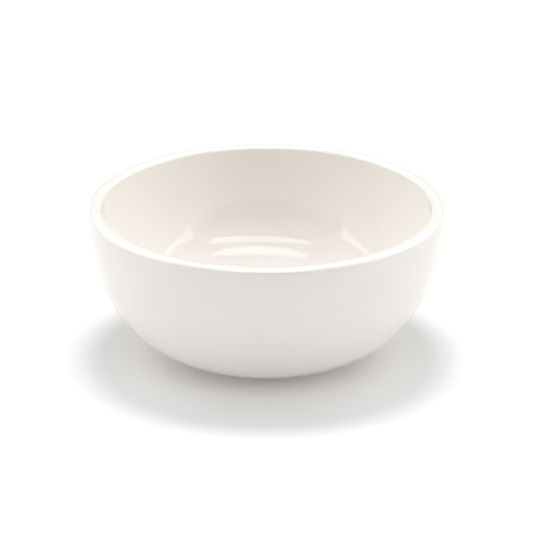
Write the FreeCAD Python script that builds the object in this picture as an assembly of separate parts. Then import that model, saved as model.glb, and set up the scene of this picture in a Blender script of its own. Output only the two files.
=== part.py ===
import FreeCAD
import Part

import math
import os

# Lathering bowl for wet shaving: a round, one-piece porcelain bowl with a thick rolled lip,
# a nearly upright upper wall, a full belly and a low foot ring.
#
# A bowl like this is a fired clay body in a glassy skin.  The skin is wiped off the foot ring
# before the firing, so it ends up as two separate coats: a large one that runs from the foot
# over the lip down to the floor of the well, and a small one inside the foot ring.
# Each of the three is a solid of revolution about Z, and they meet face to face.
#
# Frame: millimetres, +Z up, origin at the centre of the foot ring's standing face.
# An angle is measured in the r-z half plane from +r towards +Z, in degrees, so a negative
# angle on an outer curve is a surface that faces outwards and down.

# ---- driving dimensions -------------------------------------------------------------
OUTER_DIAMETER = 120.0        # over the glaze, at the lip
HEIGHT = 52.5                 # table to the top of the glazed lip
WALL_THICKNESS = 4.5          # glazed, from the lip down to the belly
GLAZE_THICKNESS = 0.25

WALL_LEAN = 0.7               # how far the wall leans out just under the lip, in degrees
LIP_CORNER_RADIUS = 1.2       # inner and outer corner of the lip
LIP_CROWN_RADIUS = 7.0        # the gently rounded top between the corners

WALL_CURVE_RADIUS = 75.0      # long curve of the upper wall, measured outside
WALL_TO_BELLY = -23.0         # where the long curve gives way to the belly
BELLY_CURVE_RADIUS = 36.0     # measured outside

COVE_START = -48.0            # where the inside turns more tightly than the belly
COVE_RADIUS = 20.0            # inside curve between the belly and the floor
FLOOR_EDGE = -87.5            # where the cove meets the slightly dished floor

FOOT_DIAMETER = 52.0          # over the glaze, at the foot ring's outer wall
FOOT_FILLET_RADIUS = 0.6      # glazed, between the belly and the foot ring
FOOT_CORNER_RADIUS = 0.4      # bare, both edges of the standing face
FOOT_FACE_WIDTH = 2.6         # flat, bare standing face
RECESS_HEIGHT = 2.4           # unglazed, from the standing face up to the roof's edge
RECESS_FILLET_RADIUS = 1.2    # unglazed, from the foot ring's inner wall to the roof
RECESS_ROOF_RADIUS = 700.0    # the roof rises very slightly towards the middle

BELOW = -90.0                 # straight down
ABOVE = 90.0                  # straight up


# ---- plane geometry in the r-z half plane -------------------------------------------
def direction(angle):
    """Unit vector at an angle in degrees, as (r, z)."""
    return math.cos(math.radians(angle)), math.sin(math.radians(angle))


def moved(point, angle, distance):
    """The point reached from another along a direction."""
    r, z = direction(angle)
    return point[0] + distance * r, point[1] + distance * z


def angle_of(sine):
    """Angle in degrees whose sine is given."""
    return math.degrees(math.asin(sine))


class Curve:
    """An arc of the section.  bulge is +1 where the bowl lies inside its circle, else -1."""

    def __init__(self, centre, radius, start, end, bulge):
        self.centre = centre
        self.radius = radius
        self.start = start
        self.end = end
        self.bulge = bulge

    def inset(self, depth):
        """The same arc, moved into the bowl by a depth."""
        radius = self.radius - self.bulge * depth
        return Curve(self.centre, radius, self.start, self.end, self.bulge)

    def point(self, angle):
        """The point of the circle at an angle."""
        return moved(self.centre, angle, self.radius)

    def edge(self):
        """The arc as an edge in the XZ plane."""
        middle = (self.start + self.end) / 2
        points = [vector(self.point(a)) for a in (self.start, middle, self.end)]
        return Part.Arc(*points).toShape()


def vector(point):
    """(r, z) as a vector in the XZ plane."""
    return FreeCAD.Vector(point[0], 0, point[1])


def straight(start, end):
    """A straight edge between two (r, z) points."""
    return Part.makeLine(vector(start), vector(end))


def turned(edges):
    """The solid that a closed outline sweeps when it is turned once about Z."""
    face = Part.Face(Part.Wire(Part.__sortEdges__(edges)))
    solid = face.revolve(FreeCAD.Vector(0, 0, 0), FreeCAD.Vector(0, 0, 1), 360)
    return solid.Solids[0]


# ---- the glazed section -------------------------------------------------------------
def lip():
    """Outer corner, crown and inner corner of the lip, square to the leaning wall."""
    up_the_wall = 90.0 - WALL_LEAN
    crown_to_corner = LIP_CROWN_RADIUS - LIP_CORNER_RADIUS
    half_flat = WALL_THICKNESS / 2 - LIP_CORNER_RADIUS
    half_crown = angle_of(half_flat / crown_to_corner)
    crown_start = up_the_wall - half_crown
    crown_end = up_the_wall + half_crown
    reach = crown_to_corner * direction(crown_start)[0]
    crown_centre = (
        OUTER_DIAMETER / 2 - LIP_CORNER_RADIUS - reach,
        HEIGHT - LIP_CROWN_RADIUS,
    )
    outer_centre = moved(crown_centre, crown_start, crown_to_corner)
    inner_centre = moved(crown_centre, crown_end, crown_to_corner)
    outer = Curve(outer_centre, LIP_CORNER_RADIUS, -WALL_LEAN, crown_start, 1)
    crown = Curve(crown_centre, LIP_CROWN_RADIUS, crown_start, crown_end, 1)
    inner = Curve(inner_centre, LIP_CORNER_RADIUS, crown_end, 180 - WALL_LEAN, 1)
    return outer, crown, inner


def outside(outer_corner):
    """Long wall curve, belly curve and foot fillet, from the lip's outer corner down."""
    to_wall_centre = WALL_CURVE_RADIUS - LIP_CORNER_RADIUS
    wall_centre = moved(outer_corner.centre, -WALL_LEAN, -to_wall_centre)
    wall = Curve(wall_centre, WALL_CURVE_RADIUS, -WALL_LEAN, WALL_TO_BELLY, 1)
    to_belly_centre = WALL_CURVE_RADIUS - BELLY_CURVE_RADIUS
    belly_centre = moved(wall_centre, WALL_TO_BELLY, to_belly_centre)
    fillet_r = FOOT_DIAMETER / 2 + FOOT_FILLET_RADIUS
    to_fillet = BELLY_CURVE_RADIUS + FOOT_FILLET_RADIUS
    belly_end = angle_of((fillet_r - belly_centre[0]) / to_fillet) - 90.0
    belly = Curve(belly_centre, BELLY_CURVE_RADIUS, WALL_TO_BELLY, belly_end, 1)
    fillet_centre = moved(belly_centre, belly_end, to_fillet)
    fillet = Curve(fillet_centre, FOOT_FILLET_RADIUS, belly_end + 180.0, 180.0, -1)
    return wall, belly, fillet


def inside(wall, belly):
    """Inner wall and belly, parallel to the outer ones, then the cove and the dished floor."""
    wall_radius = WALL_CURVE_RADIUS - WALL_THICKNESS
    belly_radius = BELLY_CURVE_RADIUS - WALL_THICKNESS
    inner_wall = Curve(wall.centre, wall_radius, -WALL_LEAN, WALL_TO_BELLY, -1)
    inner_belly = Curve(belly.centre, belly_radius, WALL_TO_BELLY, COVE_START, -1)
    cove_centre = moved(belly.centre, COVE_START, belly_radius - COVE_RADIUS)
    cove = Curve(cove_centre, COVE_RADIUS, COVE_START, FLOOR_EDGE, -1)
    floor_to_cove = cove_centre[0] / direction(FLOOR_EDGE)[0]
    floor_centre = moved(cove_centre, FLOOR_EDGE, -floor_to_cove)
    floor = Curve(floor_centre, floor_to_cove + COVE_RADIUS, FLOOR_EDGE, BELOW, -1)
    return inner_wall, inner_belly, cove, floor


def glazed_surface():
    """The main coat's surface, from the foot fillet over the lip to the floor's middle."""
    outer_corner, crown, inner_corner = lip()
    wall, belly, fillet = outside(outer_corner)
    return [fillet, belly, wall, outer_corner, crown, inner_corner] + list(inside(wall, belly))


def bare_foot():
    """Outer and inner corner of the unglazed standing face."""
    outer_r = FOOT_DIAMETER / 2 - GLAZE_THICKNESS - FOOT_CORNER_RADIUS
    inner_r = outer_r - FOOT_FACE_WIDTH
    outer = Curve((outer_r, FOOT_CORNER_RADIUS), FOOT_CORNER_RADIUS, BELOW, 0.0, 1)
    inner = Curve((inner_r, FOOT_CORNER_RADIUS), FOOT_CORNER_RADIUS, -180.0, BELOW, 1)
    return outer, inner


def recess():
    """Roof and fillet of the body's recess inside the foot ring, from the axis outwards."""
    inner_corner = bare_foot()[1]
    fillet_r = inner_corner.point(-180.0)[0] - RECESS_FILLET_RADIUS
    fillet_centre = (fillet_r, RECESS_HEIGHT - RECESS_FILLET_RADIUS)
    roof_to_fillet = RECESS_ROOF_RADIUS - RECESS_FILLET_RADIUS
    roof_edge = 90.0 - angle_of(fillet_r / roof_to_fillet)
    roof_centre = moved(fillet_centre, roof_edge, -roof_to_fillet)
    roof = Curve(roof_centre, RECESS_ROOF_RADIUS, ABOVE, roof_edge, -1)
    fillet = Curve(fillet_centre, RECESS_FILLET_RADIUS, roof_edge, 0.0, -1)
    return roof, fillet


# ---- the pieces ---------------------------------------------------------------------
def below(point, distance):
    """The point straight below another."""
    return point[0], point[1] - distance


def rolled_edge(surface, root):
    """The rounded lower edge of a coat on an upright wall, from its surface to the body."""
    side = surface[0] - root[0]
    half = math.sqrt(0.5)
    shoulder = (root[0] + half * side, root[1] - half * abs(side))
    end = below(root, abs(side))
    return Part.Arc(vector(surface), vector(shoulder), vector(end)).toShape()


def coat(surface, body, wall_end):
    """A coat between its surface and the body, both on upright walls at one end.

    wall_end picks that end of both rows of curves, and the other end lies on the axis.
    """
    if wall_end == "first":
        outer_end, root = surface[0].point(surface[0].end), body[0].point(body[0].end)
        on_axis = surface[-1].point(surface[-1].end), body[-1].point(body[-1].end)
    else:
        outer_end, root = surface[-1].point(surface[-1].end), body[-1].point(body[-1].end)
        on_axis = surface[0].point(surface[0].start), body[0].point(body[0].start)
    edges = [curve.edge() for curve in surface + body]
    edges.append(rolled_edge(outer_end, root))
    edges.append(straight(root, below(root, GLAZE_THICKNESS)))
    edges.append(straight(*on_axis))
    return turned(edges)


def porcelain_body():
    """The fired clay body, bare on the foot ring."""
    skin = [curve.inset(GLAZE_THICKNESS) for curve in glazed_surface()]
    outer_foot, inner_foot = bare_foot()
    roof, fillet = recess()
    edges = [curve.edge() for curve in skin + [outer_foot, inner_foot, roof, fillet]]
    edges.append(straight(skin[0].point(180.0), outer_foot.point(0.0)))
    edges.append(straight(outer_foot.point(BELOW), inner_foot.point(BELOW)))
    edges.append(straight(inner_foot.point(-180.0), fillet.point(0.0)))
    edges.append(straight(skin[-1].point(BELOW), roof.point(ABOVE)))
    return turned(edges)


def glaze_coat():
    """The main coat: up the outside, over the lip and down to the middle of the floor."""
    surface = glazed_surface()
    return coat(surface, [curve.inset(GLAZE_THICKNESS) for curve in surface], "first")


def foot_recess_glaze():
    """The small coat on the underside, inside the foot ring."""
    body = list(recess())
    return coat([curve.inset(-GLAZE_THICKNESS) for curve in body], body, "last")


PIECES = {
    "porcelain_body": porcelain_body,
    "glaze_coat": glaze_coat,
    "foot_recess_glaze": foot_recess_glaze,
}

os.makedirs("parts", exist_ok=True)
for name, make in PIECES.items():
    piece = make()
    piece.exportStep(os.path.join("parts", name + ".step"))
    box = piece.optimalBoundingBox(False)
    print(
        f"{name}: valid {piece.isValid()}, {piece.Volume / 1000:.2f} cm3,"
        f" across {box.XLength:.2f} mm, from z {box.ZMin:.3f} to {box.ZMax:.3f} mm"
    )
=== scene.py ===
# %% [markdown]
# # A glazed porcelain lathering bowl
#
# The bowl is one fired clay body in a skin of ivory glaze.  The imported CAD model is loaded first
# and stays as the fixed frame: its boxes give the sizes that the finer meshes are built to.
# The frame could also be shown as it is, but its facets would print through a skin that is only a
# quarter of a millimetre thick, and gloss makes every facet plain, so all three pieces are redrawn.

# %% Load the frame
import math

import bmesh
import bpy
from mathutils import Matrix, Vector, noise


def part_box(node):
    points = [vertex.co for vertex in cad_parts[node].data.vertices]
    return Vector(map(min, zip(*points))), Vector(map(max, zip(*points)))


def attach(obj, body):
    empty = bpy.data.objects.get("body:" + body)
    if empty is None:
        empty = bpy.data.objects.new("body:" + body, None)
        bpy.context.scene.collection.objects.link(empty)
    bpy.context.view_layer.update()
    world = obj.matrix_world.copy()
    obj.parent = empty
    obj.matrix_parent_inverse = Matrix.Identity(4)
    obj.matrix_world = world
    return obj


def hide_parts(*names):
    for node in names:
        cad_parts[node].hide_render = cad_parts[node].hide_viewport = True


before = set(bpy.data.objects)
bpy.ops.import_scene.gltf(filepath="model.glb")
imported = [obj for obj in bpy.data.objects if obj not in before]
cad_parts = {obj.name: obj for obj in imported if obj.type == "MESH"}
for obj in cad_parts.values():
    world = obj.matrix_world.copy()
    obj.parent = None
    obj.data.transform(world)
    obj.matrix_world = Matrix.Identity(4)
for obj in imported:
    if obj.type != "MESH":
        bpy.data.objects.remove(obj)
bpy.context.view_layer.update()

glaze_low, glaze_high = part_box("glaze_coat")
body_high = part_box("porcelain_body")[1]
recess_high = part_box("foot_recess_glaze")[1]

# %% [markdown]
# ## Driving sizes
#
# A thrown or jiggered bowl is described by its section: a few curves that run into each other
# without a corner.  A section could be typed in as a long list of points, but radii and angles say
# the same thing in one line each and can be changed by hand.  The outer sizes come from the frame.

# %% Driving sizes
MM = 0.001
RIM_RADIUS = glaze_high[0]
LIP_TOP = glaze_high[2]
GLAZE = LIP_TOP - body_high[2]
WALL = 4.5 * MM

LEAN = 0.7                    # degrees that the wall leans out under the lip
LIP_CORNER = 1.2 * MM
LIP_CROWN = 7.0 * MM
WALL_CURVE = 75.0 * MM
WALL_TO_BELLY = 23.0          # degrees below level that the outside faces there
BELLY_CURVE = 36.0 * MM
COVE_START = 48.0             # degrees below level, on the inside
COVE_CURVE = 20.0 * MM
FLOOR_DISH = 2.5              # degrees of slope at the edge of the floor

RECESS_RADIUS = recess_high[0]
FOOT_FACE = 2.6 * MM
FOOT_CORNER = 0.4 * MM
FOOT_RADIUS = RECESS_RADIUS + FOOT_FACE + 2 * FOOT_CORNER + GLAZE
FOOT_FILLET = 0.6 * MM
RECESS_FILLET = 1.2 * MM
RECESS_EDGE = 2.4 * MM        # height of the recess's roof where it meets the fillet
STEPS_ROUND = 288
print(f"lip {2 * RIM_RADIUS / MM:.1f} mm across and {LIP_TOP / MM:.1f} mm high")
print(f"glaze {GLAZE / MM:.2f} mm thick, foot {2 * FOOT_RADIUS / MM:.1f} mm across")

# %% [markdown]
# ## Drawing a section with arcs
#
# Spin is known for turning a profile into a vase.  It also draws the profile: spinning a single
# point about a centre leaves a chain of edges along a true arc.  Each arc starts square to the way
# the surface faces, so one arc runs into the next without a kink.  A positive radius bulges out of
# the bowl and a negative one is hollow.

# %% An outline that is drawn arc by arc
SKIN_CHORD = 1.1 * MM         # longest edge along an arc that shows
HIDDEN_CHORD = 3.0 * MM       # and along one that lies between clay and glaze
LEAST_STEPS = 4


class Outline:
    """A chain of arcs in the XZ plane, drawn into a bmesh."""

    def __init__(self, mesh, r, z, facing, chord=SKIN_CHORD):
        self.mesh = mesh
        self.chord = chord
        self.tip = bmesh.ops.create_vert(mesh, co=(r, 0, z))["vert"][0]
        self.facing = facing

    def outward(self):
        """The way the surface faces at the tip."""
        angle = math.radians(self.facing)
        return Vector((math.cos(angle), 0, math.sin(angle)))

    def arc(self, radius, turn):
        """Swings the tip about a centre until the surface has turned by some degrees."""
        centre = self.tip.co - radius * self.outward()
        length = abs(radius * math.radians(turn))
        steps = max(LEAST_STEPS, math.ceil(length / self.chord))
        swept = bmesh.ops.spin(
            self.mesh, geom=[self.tip], cent=centre, axis=(0, -1, 0),
            angle=math.radians(turn), steps=steps,
        )
        self.tip = [part for part in swept["geom_last"] if isinstance(part, bmesh.types.BMVert)][0]
        self.facing += turn

    def line_to(self, r, z):
        """Draws a straight edge to a point."""
        made = bmesh.ops.extrude_vert_indiv(self.mesh, verts=[self.tip])
        self.tip = made["verts"][0]
        self.tip.co = (r, 0, z)


print(f"edges up to {SKIN_CHORD / MM:.1f} mm where they show, {HIDDEN_CHORD / MM:.1f} mm where hidden")

# %% [markdown]
# ## The outside and the inside of the section
#
# Both halves start at the highest point of the lip.  The outside rolls over the lip's corner, drops
# along a long upright curve, turns under in the belly and ends in a small hollow fillet on the foot
# ring.  The inside keeps the same distance from it until the cove, which turns more tightly to meet
# an almost level floor.  The same two walks serve the glaze and the clay under it: started a little
# lower, every arc keeps its centre and only its radius changes.

# %% Two walks from the lip
half_crown = math.degrees(math.asin((WALL / 2 - LIP_CORNER) / (LIP_CROWN - LIP_CORNER)))
crown_outside = half_crown + LEAN
crown_inside = half_crown - LEAN
apex_reach = (LIP_CROWN - LIP_CORNER) * math.sin(math.radians(crown_outside))
APEX_RADIUS = RIM_RADIUS - LIP_CORNER - apex_reach


def walk_outside(mesh, inset):
    """From the top of the lip down the outside to the foot ring's upright wall."""
    walk = Outline(mesh, APEX_RADIUS, LIP_TOP - inset, 90, HIDDEN_CHORD if inset else SKIN_CHORD)
    walk.arc(LIP_CROWN - inset, -crown_outside)
    walk.arc(LIP_CORNER - inset, crown_outside - 90 - LEAN)
    walk.arc(WALL_CURVE - inset, LEAN - WALL_TO_BELLY)
    belly_centre = walk.tip.co - (BELLY_CURVE - inset) * walk.outward()
    across = FOOT_RADIUS + FOOT_FILLET - belly_centre.x
    under = math.degrees(math.acos(across / (BELLY_CURVE + FOOT_FILLET)))
    walk.arc(BELLY_CURVE - inset, WALL_TO_BELLY - under)
    walk.arc(-FOOT_FILLET - inset, under)
    return walk


def walk_inside(mesh, inset):
    """From the top of the lip down the inside to the middle of the floor."""
    walk = Outline(mesh, APEX_RADIUS, LIP_TOP - inset, 90, HIDDEN_CHORD if inset else SKIN_CHORD)
    walk.arc(LIP_CROWN - inset, crown_inside)
    walk.arc(LIP_CORNER - inset, 90 - LEAN - crown_inside)
    walk.arc(WALL - WALL_CURVE - inset, LEAN - WALL_TO_BELLY)
    walk.arc(WALL - BELLY_CURVE - inset, WALL_TO_BELLY - COVE_START)
    walk.arc(-COVE_CURVE - inset, COVE_START + FLOOR_DISH - 90)
    floor_radius = walk.tip.co.x / math.sin(math.radians(FLOOR_DISH))
    walk.arc(-floor_radius, -FLOOR_DISH)
    return walk


print(f"the lip is highest {APEX_RADIUS / MM:.2f} mm from the axis")

# %% [markdown]
# ## Turning an outline into a closed piece
#
# A full spin about the bowl's axis makes the solid.  Its last copy lies on its first, and the points
# on the axis lie on each other, so doubles are merged, and the normals are made to point outwards
# after that.  A Screw modifier could turn the outline too, but on the mesh itself each step can be
# seen, and open edges can be counted at once.

# %% Spin, merge and hand over to the frame
MERGE = 0.5e-6                # metres: points closer than this are one


def turn_round(mesh):
    """Turns every edge of an outline about the bowl's axis into a closed skin."""
    bmesh.ops.remove_doubles(mesh, verts=mesh.verts, dist=MERGE)
    bmesh.ops.spin(
        mesh, geom=mesh.verts[:] + mesh.edges[:], cent=(0, 0, 0), axis=(0, 0, 1),
        angle=math.tau, steps=STEPS_ROUND, use_merge=True,
    )
    bmesh.ops.remove_doubles(mesh, verts=mesh.verts, dist=MERGE)
    bmesh.ops.recalc_face_normals(mesh, faces=mesh.faces)


def hand_over(mesh, name, node):
    """Makes an object of a mesh, smooth and at the origin, that stands for a CAD node."""
    data = bpy.data.meshes.new(name)
    for face in mesh.faces:
        face.smooth = True
    open_edges = sum(1 for edge in mesh.edges if len(edge.link_faces) != 2)
    volume = mesh.calc_volume(signed=True)
    mesh.to_mesh(data)
    mesh.free()
    piece = bpy.data.objects.new(name, data)
    bpy.context.scene.collection.objects.link(piece)
    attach(piece, "root")
    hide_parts(node)
    print(f"{name}: {len(data.polygons)} faces, {open_edges} open edges, {volume * 1e6:.2f} cm3")
    return piece


print(f"steps of {math.tau * RIM_RADIUS / STEPS_ROUND / MM:.2f} mm round the lip")

# %% [markdown]
# ## The glaze
#
# Glaze is melted glass.  It flows a little before it sets, so its surface is never quite as true as
# the clay under it: it is smooth to the touch, but a reflection in it bends gently, and it gathers
# in a soft bead where it was wiped off above the foot ring.  A bump in the material could fake the
# small ripple, but the slow waves and the bead belong to the shape, so the skin's own points are
# moved.  Only the outer skin moves: the side that lies on the clay stays true.

# %% Slow waves and the bead at the foot
WAVES = [(21 * MM, 0.018 * MM), (8 * MM, 0.003 * MM)]     # length and height
BEAD_HEIGHT = 0.06 * MM
BEAD_WIDTH = 0.5 * MM
BEAD_LEVEL = 1.5 * MM
BEAD_REACH = 4 * MM           # how far out from the foot the bead may lie
BEAD_TOP = 3 * MM             # and how high
EDGE_FADE = 0.8 * MM          # the skin lies still at its edge and moves freely this far above it


def glaze_wave(point):
    """How far the melted skin stands proud of a true one at a point."""
    rise = sum(height * noise.noise(point / length) for length, height in WAVES)
    outside_the_foot = FOOT_RADIUS < math.hypot(point.x, point.y) < FOOT_RADIUS + BEAD_REACH
    if outside_the_foot and point.z < BEAD_TOP:
        rise += BEAD_HEIGHT * math.exp(-(((point.z - BEAD_LEVEL) / BEAD_WIDTH) ** 2))
    return rise * min(1, max(0, (point.z - glaze_low[2]) / EDGE_FADE))


def ripple(skin):
    """Moves a skin's points along the way they face."""
    moves = [(vert, glaze_wave(vert.co) * vert.normal) for vert in skin]
    for vert, move in moves:
        vert.co += move
    print(f"largest wave {max(move.length for vert, move in moves) / MM:.3f} mm")


print(f"waves of {sum(height for length, height in WAVES) / MM:.3f} mm, bead of {BEAD_HEIGHT / MM:.2f} mm")

# %% [markdown]
# ## The coat that shows
#
# One skin of glaze covers the outside, the lip and the inside.  A Solidify modifier on the body
# could make it, but it would end in a square cut, and the real one rolls over into a round edge
# above the foot.  So the coat is drawn as one closed outline: down the outside, a quarter turn at
# the edge, and back along the clay.  The points that show are marked, because only they wave.

# %% The main coat
def make_main_coat():
    """The coat from the foot ring over the lip to the floor, closed on the side of the clay."""
    mesh = bmesh.new()
    on_skin = mesh.verts.layers.int.new("skin")
    outside = walk_outside(mesh, 0)
    outside.arc(GLAZE, -90)
    walk_inside(mesh, 0)
    for vert in mesh.verts:
        vert[on_skin] = 1
    walk_inside(mesh, GLAZE)
    walk_outside(mesh, GLAZE).line_to(FOOT_RADIUS - GLAZE, outside.tip.co.z)
    turn_round(mesh)
    ripple([vert for vert in mesh.verts if vert[on_skin]])
    return hand_over(mesh, "glaze_main_coat", "glaze_coat")


main_coat = make_main_coat()

# %% [markdown]
# ## The clay body
#
# Under the glaze the clay follows the same two walks, a glaze's thickness lower.  It comes to light
# only on the foot ring, which is wiped and later rubbed smooth, so that it doesn't weld itself to
# the kiln shelf or scratch a table.  Its two edges are softened by that rubbing.  Inside the ring
# the underside is hollow, so that the bowl stands on the ring and never rocks on its middle.
# Body and glaze could share one mesh with two materials, but real glaze has a thickness and an
# edge, so each has a closed mesh of its own.

# %% The body with its foot ring
HAIR = 0.01 * MM              # the clay lies this much deeper, so it never flickers through the glaze
roof_rise = recess_high[2] - RECESS_EDGE
roof_reach = RECESS_RADIUS - RECESS_FILLET
roof_curve = (roof_reach**2 + roof_rise**2) / (2 * roof_rise)
ROOF_SLOPE = math.degrees(math.asin(roof_reach / roof_curve))


def make_body():
    """The fired clay, closed from the middle of the floor to the middle of the underside."""
    mesh = bmesh.new()
    walk_inside(mesh, GLAZE + HAIR)
    ring = walk_outside(mesh, GLAZE + HAIR)
    ring.line_to(FOOT_RADIUS - GLAZE, FOOT_CORNER)
    ring.facing = 0
    ring.chord = SKIN_CHORD
    ring.arc(FOOT_CORNER, -90)
    ring.line_to(RECESS_RADIUS + FOOT_CORNER, 0)
    ring.arc(FOOT_CORNER, -90)
    ring.line_to(RECESS_RADIUS, RECESS_EDGE - RECESS_FILLET)
    ring.arc(-RECESS_FILLET, 90 - ROOF_SLOPE)
    ring.arc(-ring.tip.co.x / math.sin(math.radians(ROOF_SLOPE)), ROOF_SLOPE)
    turn_round(mesh)
    return hand_over(mesh, "porcelain_foot_and_wall", "porcelain_body")


body = make_body()

# %% [markdown]
# ## The glaze inside the foot ring
#
# Wiping the ring bare cuts the glaze in two.  What stays inside is a thin round pool with its own
# rolled edge.  It is a piece of its own, drawn with the same arcs and turned in the same way.

# %% The small coat
def make_recess_coat():
    """The pool of glaze on the underside, closed on the side of the clay."""
    mesh = bmesh.new()
    for depth in (0, GLAZE):
        skin = Outline(mesh, RECESS_RADIUS - depth, RECESS_EDGE - RECESS_FILLET, -180)
        skin.arc(depth - RECESS_FILLET, 90 - ROOF_SLOPE)
        skin.arc(-skin.tip.co.x / math.sin(math.radians(ROOF_SLOPE)), ROOF_SLOPE)
    edge = Outline(mesh, RECESS_RADIUS - GLAZE, RECESS_EDGE - RECESS_FILLET, -180)
    edge.arc(GLAZE, 90)
    edge.line_to(RECESS_RADIUS, RECESS_EDGE - RECESS_FILLET)
    turn_round(mesh)
    return hand_over(mesh, "glaze_inside_foot", "foot_recess_glaze")


recess_coat = make_recess_coat()

# %% [markdown]
# ## Writing shader sums as sums
#
# A pattern is arithmetic on numbers that change from place to place.  Math nodes could be clicked
# together by hand, but that hides the formula.  A small class wraps a socket instead, so that an
# ordinary expression adds the nodes that reckon it.

# %% A socket that can be reckoned with
class Value:
    """A shader socket whose number can be used in sums."""

    def __init__(self, tree, socket):
        self.tree = tree
        self.socket = socket

    def math(self, operation, *terms):
        """A Math node on this value, or on the terms where their order matters."""
        node = self.tree.nodes.new("ShaderNodeMath")
        node.operation = operation
        for socket, term in zip(node.inputs, terms or [self]):
            if isinstance(term, Value):
                self.tree.links.new(term.socket, socket)
            else:
                socket.default_value = term
        return Value(self.tree, node.outputs[0])

    def __add__(self, other):
        return self.math("ADD", self, other)

    def __radd__(self, other):
        return self.math("ADD", other, self)

    def __sub__(self, other):
        return self.math("SUBTRACT", self, other)

    def __rsub__(self, other):
        return self.math("SUBTRACT", other, self)

    def __mul__(self, other):
        return self.math("MULTIPLY", self, other)

    def __rmul__(self, other):
        return self.math("MULTIPLY", other, self)

    def __truediv__(self, other):
        return self.math("DIVIDE", self, other)

    def __pow__(self, other):
        return self.math("POWER", self, other)

    def __abs__(self):
        return self.math("ABSOLUTE")

    def step(self, low, high):
        """0 up to low, 1 from high, and a soft step between them."""
        return self.ramp(low, high, "SMOOTHSTEP")

    def ramp(self, low, high, shape="LINEAR"):
        """This value's place between two others, held between 0 and 1."""
        settings = {"interpolation_type": shape, "clamp": True}
        nodes = Nodes(self.tree)
        made = nodes.node("ShaderNodeMapRange", settings, Value=self, From_Min=low, From_Max=high)
        return nodes.out(made, "Result")


# %% [markdown]
# ## Adding any other node
#
# Noise, coordinates and mixed colours need nodes of their own.  They all come from one method, which
# takes a node's type, its settings and the values or links of its sockets.  The settings go first,
# because some of them change which sockets the node has.

# %% Nodes from expressions
COLOURS_TO_MIX = (6, 7)       # a Mix node has an A and a B for each kind of data, here for colours
MIXED_COLOUR = 2


class Nodes:
    """A node tree that is built from expressions."""

    def __init__(self, tree):
        self.tree = tree

    def node(self, kind, settings=None, **sockets):
        """Adds a node: its settings first, then the values or links of its sockets."""
        made = self.tree.nodes.new(kind)
        for key, value in (settings or {}).items():
            setattr(made, key, value)
        for key, value in sockets.items():
            socket = made.inputs[key.replace("_", " ")]
            if isinstance(value, Value):
                self.tree.links.new(value.socket, socket)
            else:
                socket.default_value = value
        return made

    def out(self, made, socket):
        """One of a node's outputs, ready for sums."""
        return Value(self.tree, made.outputs[socket])

    def split(self, vector):
        """The three numbers of a vector."""
        made = self.node("ShaderNodeSeparateXYZ", Vector=vector)
        return [self.out(made, axis) for axis in "XYZ"]

    def mix(self, factor, first, second):
        """Two colours mixed by a value."""
        made = self.node("ShaderNodeMix", {"data_type": "RGBA"}, Factor=factor)
        for place, colour in zip(COLOURS_TO_MIX, (first, second)):
            if isinstance(colour, Value):
                self.tree.links.new(colour.socket, made.inputs[place])
            else:
                made.inputs[place].default_value = (*colour, 1)
        return self.out(made, MIXED_COLOUR)


# %% [markdown]
# ## A finish to wear
#
# A finish is a material: one Principled shader, whose fixed values are set on its own sockets, and
# the patterns that are linked to the few that vary.  Every pattern reads Object coordinates, so it
# stays where it is on the piece, and its sizes can be given in metres.

# %% A material that knows its patterns
class Finish(Nodes):
    """A material: a glossy or matt shader and the pattern that feeds it."""

    def __init__(self, name, **constants):
        self.material = bpy.data.materials.new(name)
        self.material.use_nodes = True
        super().__init__(self.material.node_tree)
        self.shader = self.tree.nodes["Principled BSDF"]
        for socket, value in constants.items():
            self.shader.inputs[socket.replace("_", " ")].default_value = value

    def place(self):
        """Object coordinates, in metres."""
        return self.out(self.node("ShaderNodeTexCoord"), "Object")

    def cloud(self, size, detail=2.0, roughness=0.5):
        """Soft noise from 0 to 1, with lumps of about a size in metres."""
        made = self.node(
            "ShaderNodeTexNoise", Vector=self.place(), Scale=1 / size,
            Detail=detail, Roughness=roughness,
        )
        return self.out(made, "Fac")

    def set(self, socket, value):
        """Links a value to the shader."""
        self.tree.links.new(value.socket, self.shader.inputs[socket])

    def bump(self, height, distance):
        """Lets a height from 0 to 1 stand for a distance in metres."""
        made = self.node("ShaderNodeBump", Height=height, Distance=distance)
        self.set("Normal", self.out(made, "Normal"))

    def wear(self, *pieces):
        """Puts the finish on some pieces."""
        for piece in pieces:
            piece.data.materials.append(self.material)


# %% [markdown]
# ## Ivory glaze
#
# From an arm's length this glaze is one warm white.  Closer to, it is a little deeper where it lies
# thick and a little paler where it has run thin over the lip's two corners, and there are a few pale
# brown specks of iron and a scatter of pinholes too shallow to feel.  A clear coat over a duller
# layer could be used, but glaze is glass right through, so one sharp gloss is enough.  A very low
# ripple, finer than the waves in the mesh, breaks the edges of reflections.

# %% Glaze material
IVORY = (0.855, 0.820, 0.775)
IVORY_DEEP = (0.848, 0.811, 0.762)
IVORY_THIN = (0.868, 0.838, 0.800)
IRON = (0.42, 0.30, 0.18)
GLASS_IOR = 1.6
THICK_PATCH = 16 * MM
THICK_RANGE = (0.35, 0.65)                # noise values between which the deeper colour comes in
CORNER_REACH = (0.7 * MM, 1.5 * MM)       # from the crown's top to the thin glaze, across
CORNER_DEPTH = (1.6 * MM, 0.3 * MM)       # and below the lip's top, where it begins and is full
SPECK_SPACING = 5 * MM
SPECK_SIZE = (0.018, 0.034)               # in spacings: solid up to the first, gone from the second
SPECK_STRENGTH = 0.5
SPECK_PATCH = 7 * MM                      # specks are brown in a few patches and pinholes elsewhere
SPECK_RANGE = (0.60, 0.63)
PINHOLE = 0.6                             # depth against the ripple's height
RIPPLE_LENGTH = 1.6 * MM
RIPPLE_HEIGHT = 0.0004 * MM
SMEAR_PATCH = 11 * MM
SMEAR_RANGE = (0.3, 0.7)
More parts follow.
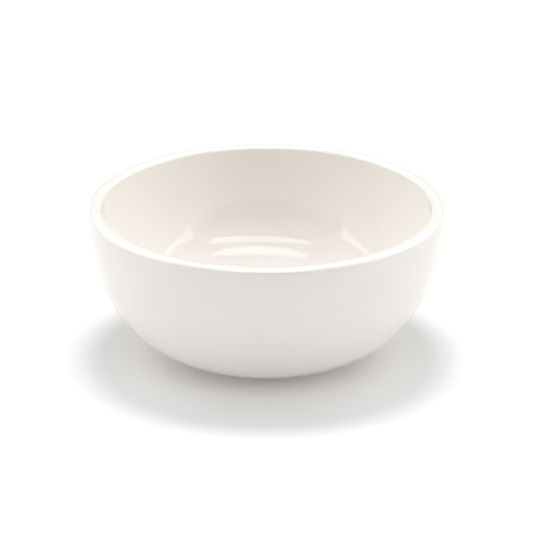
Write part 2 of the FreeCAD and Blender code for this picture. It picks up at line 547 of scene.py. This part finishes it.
GLOSS = 0.015                             # roughness where it is cleanest, and twice that at most


def glaze_finish():
    """Glossy ivory glaze."""
    glaze = Finish("ivory glaze", IOR=GLASS_IOR)
    thick = glaze.cloud(THICK_PATCH).step(*THICK_RANGE)
    colour = glaze.mix(thick, IVORY, IVORY_DEEP)
    x, y, z = glaze.split(glaze.place())
    r = (x * x + y * y) ** 0.5
    off_the_crown = abs(r - APEX_RADIUS).step(*CORNER_REACH)
    near_the_top = z.step(LIP_TOP - CORNER_DEPTH[0], LIP_TOP - CORNER_DEPTH[1])
    colour = glaze.mix(off_the_crown * near_the_top, colour, IVORY_THIN)
    cells = glaze.node("ShaderNodeTexVoronoi", Vector=glaze.place(), Scale=1 / SPECK_SPACING)
    speck = 1 - glaze.out(cells, "Distance").step(*SPECK_SIZE)
    rare = glaze.cloud(SPECK_PATCH).step(*SPECK_RANGE)
    colour = glaze.mix(speck * rare * SPECK_STRENGTH, colour, IRON)
    glaze.set("Base Color", colour)
    smear = glaze.cloud(SMEAR_PATCH, detail=4.0).ramp(*SMEAR_RANGE)
    glaze.set("Roughness", GLOSS + GLOSS * smear)
    ripple_height = glaze.cloud(RIPPLE_LENGTH, detail=1.0)
    glaze.bump(ripple_height - PINHOLE * (speck * (1 - rare)), RIPPLE_HEIGHT)
    return glaze


glaze = glaze_finish()
glaze.wear(main_coat, recess_coat)
print("glaze nodes:", len(glaze.tree.nodes))

# %% [markdown]
# ## Bare porcelain
#
# Where it is bare, the clay is matt and a shade warmer than the glaze.  It has a fine sandy grain,
# rings from the wheel that rubbed the foot smooth, and grey marks where it has stood on things.
# The rings could be cut into the mesh, but they lie a fifth of a millimetre apart, so a bump is
# enough.  Marks and rings keep to the standing face, which is found by its height.

# %% Bare clay material
CLAY = (0.78, 0.73, 0.65)
CLAY_SHADE = (0.66, 0.60, 0.52)
RUBBED = (0.45, 0.43, 0.41)
CLAY_IOR = 1.5
GRAIN = 0.16 * MM
SHADE_RANGE = (0.35, 0.75)    # noise values between which the grain is shaded
RING_SPACING = 0.19 * MM
RING_WANDER = 5               # how far the rings stray from true ones, as an angle in radians
RING_PATCH = 4 * MM
RING_STRENGTH = 0.12          # height against the grain's
GRAIN_HEIGHT = 0.02 * MM
STANDING_FACE = (0.02 * MM, 0.10 * MM)    # up to the first height all of it, from the second none
SCUFF_PATCH = 3.5 * MM
SCUFF_RANGE = (0.56, 0.66)
SCUFF_STRENGTH = 0.55
CLAY_ROUGHNESS = 0.82
RUBBED_SMOOTHER = 0.25


def clay_finish():
    """Matt fired clay, rubbed smooth on the standing face."""
    clay = Finish("bare porcelain", IOR=CLAY_IOR)
    x, y, z = clay.split(clay.place())
    r = (x * x + y * y) ** 0.5
    grain = clay.cloud(GRAIN, detail=3.0, roughness=0.6)
    colour = clay.mix(grain.ramp(*SHADE_RANGE), CLAY, CLAY_SHADE)
    rings = (r * (math.tau / RING_SPACING) + RING_WANDER * clay.cloud(RING_PATCH)).math("SINE")
    standing = 1 - z.step(*STANDING_FACE)
    scuffed = clay.cloud(SCUFF_PATCH, detail=5.0, roughness=0.7).step(*SCUFF_RANGE) * standing
    colour = clay.mix(scuffed * SCUFF_STRENGTH, colour, RUBBED)
    clay.set("Base Color", colour)
    clay.set("Roughness", CLAY_ROUGHNESS - RUBBED_SMOOTHER * standing)
    clay.bump(grain + RING_STRENGTH * rings * standing, GRAIN_HEIGHT)
    return clay


clay = clay_finish()
clay.wear(body)
print("clay nodes:", len(clay.tree.nodes))

# %% [markdown]
# ## Camera
#
# The bowl is seen from a little above, through a long lens from about a metre away, so that its
# round mouth stays a calm oval.  A short lens close by would show as much, but it would swell the
# near lip.  The camera aims at a point on the axis, below the lip.

# %% Camera
VIEW_DISTANCE = 0.96
VIEW_DOWN = math.radians(22.31)
AIM_BELOW_LIP = 23.03 * MM
AIM = Vector((0, 0, LIP_TOP - AIM_BELOW_LIP))
LENS = 191.2                  # in millimetres, as is the sensor's width
SENSOR = 36
NEAREST = 0.01                # in metres: nothing closer than this is drawn

camera = bpy.data.objects.new("camera", bpy.data.cameras.new("camera"))
bpy.context.scene.collection.objects.link(camera)
camera.data.lens = LENS
camera.data.sensor_width = SENSOR
camera.location = AIM + VIEW_DISTANCE * Vector((0, -math.cos(VIEW_DOWN), math.sin(VIEW_DOWN)))
camera.rotation_euler = (math.pi / 2 - VIEW_DOWN, 0, 0)
camera.data.clip_start = NEAREST
bpy.context.scene.camera = camera
print("camera at", [round(part, 3) for part in camera.location])

# %% [markdown]
# ## Floor
#
# A plain pale sheet, large enough to fill every reflection that looks down.  It isn't part of the
# bowl.  It glows very faintly, which stands in for the light that the walls of a real studio send
# back into the shadow.

# %% Floor
FLOOR_HALF = 4.0
FLOOR_GLOW = 0.12
PAPER_ROUGHNESS = 0.9
PAPER_PATCH = 0.4
WHITE = (1, 1, 1, 1)
PAPER = (0.71, 0.705, 0.70)
PAPER_PALE = (0.73, 0.725, 0.72)

floor_mesh = bmesh.new()
bmesh.ops.create_grid(floor_mesh, x_segments=1, y_segments=1, size=FLOOR_HALF)
floor_data = bpy.data.meshes.new("floor")
floor_mesh.to_mesh(floor_data)
floor_mesh.free()
floor = bpy.data.objects.new("floor", floor_data)
bpy.context.scene.collection.objects.link(floor)
paper = Finish("pale paper", Roughness=PAPER_ROUGHNESS)
paper.shader.inputs["Emission Strength"].default_value = FLOOR_GLOW
paper.shader.inputs["Emission Color"].default_value = WHITE
paper.set("Base Color", paper.mix(paper.cloud(PAPER_PATCH), PAPER, PAPER_PALE))
paper.wear(floor)
print(f"floor {2 * FLOOR_HALF:.0f} m square")

# %% [markdown]
# ## Light
#
# White gloss shows little but its surroundings, so the studio is described by what the bowl can see
# of it.  Lamps and cloth could be modelled one by one.  A sky whose brightness depends on the
# direction says the same thing in a few sums, gives no hard shadow and renders with little noise.
# Two angles name a direction: how far across it lies, from the camera's side, and how high.

# %% Directions in the sky
world = bpy.data.worlds.new("studio")
world.use_nodes = True
bpy.context.scene.world = world
bpy.context.scene.view_settings.view_transform = "Standard"

sky = Nodes(world.node_tree)
DEGREES = 180 / math.pi
x, y, z = sky.split(sky.out(sky.node("ShaderNodeTexCoord"), "Generated"))
across = DEGREES * x.math("ARCTAN2", x, 0 - y)           # 0 on the camera's side, 90 on the right
height = DEGREES * z.math("ARCSINE")


def within(value, low, high, soft):
    """1 between two values and 0 outside them, with soft edges."""
    return value.step(low - soft, low + soft) * (1 - value.step(high - soft, high + soft))


print("sky nodes for the two angles:", len(world.node_tree.nodes))

# %% [markdown]
# ## Dim cloth, soft boxes and an opening
#
# The room is dim.  In front it opens for the camera and is darkest, with a little haze in the upper
# part of the opening, and the cloth on both sides of it is lighter.  The opening draws the dark oval
# in the far wall.  Soft boxes stand low down on both sides, and half way up a little behind the
# bowl, where they light the sides of the bowl.

# %% Cloth, boxes and opening
CLOTH = 0.12                  # behind, and between the bars
LEFT_WING = 0.35              # beside the opening, on the left
RIGHT_WING = 0.5
OPENING = 0.02
HAZE = 0.4                    # added in the upper part of the opening
SIDE_CLOTH = 0.55             # half way up on both sides
REAR_BOX = 2.0                # half way up on both sides, a little behind the bowl
LOW_BOX = 2.4                 # low down on both sides
ROOF = 0.35

LEFT_EDGE = 30                # the opening's edges at the floor, in degrees left and right
RIGHT_EDGE = 58
LEFT_SLANT = 0.5              # degrees that an edge moves inwards with each degree of height
RIGHT_SLANT = 0.7
EDGE_BLUR = 2                 # half the width of a soft edge, in degrees
WING_BLUR = 5
CRISP = 1
LEVEL_BLUR = 1.5
SOFT = 3
OPENING_TOP = (34, 37)        # heights between which something ends or begins
HAZE_START = (17, 26)
WING_TOP = (33, 37)
ROOF_START = (60, 64)
WING_REACH = 60
LOW_BOX_SIDES = (61, 125)     # from one angle to another, on the left and on the right
LOW_BOX_HEIGHTS = (3, 24)
SIDE_CLOTH_SIDES = (63, 96)
REAR_BOX_SIDES = (96, 150)
UPPER_HEIGHTS = (24, 62)

left_edge = (across + LEFT_EDGE - LEFT_SLANT * height).step(-EDGE_BLUR, EDGE_BLUR)
right_edge = 1 - (across - RIGHT_EDGE + RIGHT_SLANT * height).step(-EDGE_BLUR, EDGE_BLUR)
opening = left_edge * right_edge * (1 - height.step(*OPENING_TOP))
front = OPENING + HAZE * height.step(*HAZE_START)
wings = LEFT_WING + (RIGHT_WING - LEFT_WING) * across.step(-WING_BLUR, WING_BLUR)
beside = within(across, -WING_REACH, WING_REACH, CRISP) * (1 - height.step(*WING_TOP))
sideways = abs(across)
low_boxes = within(sideways, *LOW_BOX_SIDES, CRISP) * within(height, *LOW_BOX_HEIGHTS, CRISP)
half_way_up = within(height, *UPPER_HEIGHTS, LEVEL_BLUR)
side_cloth = within(sideways, *SIDE_CLOTH_SIDES, SOFT) * half_way_up
rear_boxes = within(sideways, *REAR_BOX_SIDES, SOFT) * half_way_up
cloth = CLOTH + (wings - CLOTH) * beside + (ROOF - CLOTH) * height.step(*ROOF_START)
cloth = cloth + (LOW_BOX - CLOTH) * low_boxes
cloth = cloth + (SIDE_CLOTH - CLOTH) * side_cloth + (REAR_BOX - CLOTH) * rear_boxes
cloth = cloth + (front - cloth) * opening
print("sky nodes for the cloth:", len(world.node_tree.nodes))

# %% [markdown]
# ## Two lit bars
#
# Two lit bars hang high above the opening, with a thin and fainter line between them on the right.
# They draw the two bright stripes in the far wall.  A long straight bar seen at an angle sinks and
# narrows towards its ends, so each one follows a curve in height and has a taper on both sides.

# %% Bars
BAR = 2.6
THIN_LINE = 0.5               # brightness against the bars'
BAR_BLUR = 0.9
TIP_BLUR = 0.3


def bar(level, dip, lean, half, start, left_taper, end, right_taper):
    """A bar across the front: 1 on the bar and 0 off it.  Every measure is in degrees.

    level is its height in the middle, dip how far it sinks to both sides, lean how much further
    its right side sinks, and half its half thickness.  A taper is where one end grows thin.
    """
    turn = across / DEGREES
    middle = level - dip + dip * turn.math("COSINE") - lean * turn.math("SINE")
    width = across.step(start, start + left_taper) * (1 - across.step(end - right_taper, end))
    return (half * width - abs(height - middle)).step(0, BAR_BLUR) * width.step(0, TIP_BLUR)


lower = bar(
    level=41, dip=13, lean=2.4, half=4.2, start=-60, left_taper=46, end=58, right_taper=14,
)
upper = bar(
    level=56, dip=7.6, lean=4, half=5.4, start=-60, left_taper=30, end=70, right_taper=34,
)
thin_line = bar(
    level=49, dip=13, lean=3.1, half=1.4, start=0, left_taper=16, end=52, right_taper=10,
)
bars = lower + upper + THIN_LINE * thin_line
brightness = cloth + (BAR - CLOTH) * bars

lit = world.node_tree.nodes["Background"]
world.node_tree.links.new(brightness.socket, lit.inputs["Strength"])
lit.inputs["Color"].default_value = WHITE
print("sky nodes:", len(world.node_tree.nodes))

# %% [markdown]
# ## A lamp overhead
#
# One broad round lamp hangs nearly overhead, a little behind the bowl.  It fills the well and lights
# the floor.  The part of the inside that the camera sees doesn't mirror it, but the lip's crown
# does, which gives the lip its bright line.  The sky could hold this lamp too, but a small bright
# light renders with less noise as a lamp.  The number below is the brightness of its face, so its
# power follows from its size.

# %% Lamp overhead
LAMP_SIZE = 0.4
LAMP_PLACE = Vector((0, 0.22, 1.3))
LAMP_BRIGHTNESS = 21.5
LAMP_COLOUR = (0.97, 1.0, 1.04)

overhead = bpy.data.lights.new("overhead", "AREA")
overhead.shape = "DISK"
overhead.color = LAMP_COLOUR
overhead.size = LAMP_SIZE
# each square metre of a matt face sends out pi times its brightness
overhead.energy = LAMP_BRIGHTNESS * math.pi * math.pi * (LAMP_SIZE / 2) ** 2
lamp = bpy.data.objects.new("overhead", overhead)
bpy.context.scene.collection.objects.link(lamp)
lamp.location = LAMP_PLACE
lamp.rotation_euler = (-math.atan2(LAMP_PLACE.y, LAMP_PLACE.z), 0, 0)
print(f"lamp of {overhead.energy:.1f} W at {LAMP_PLACE.z:.1f} m")
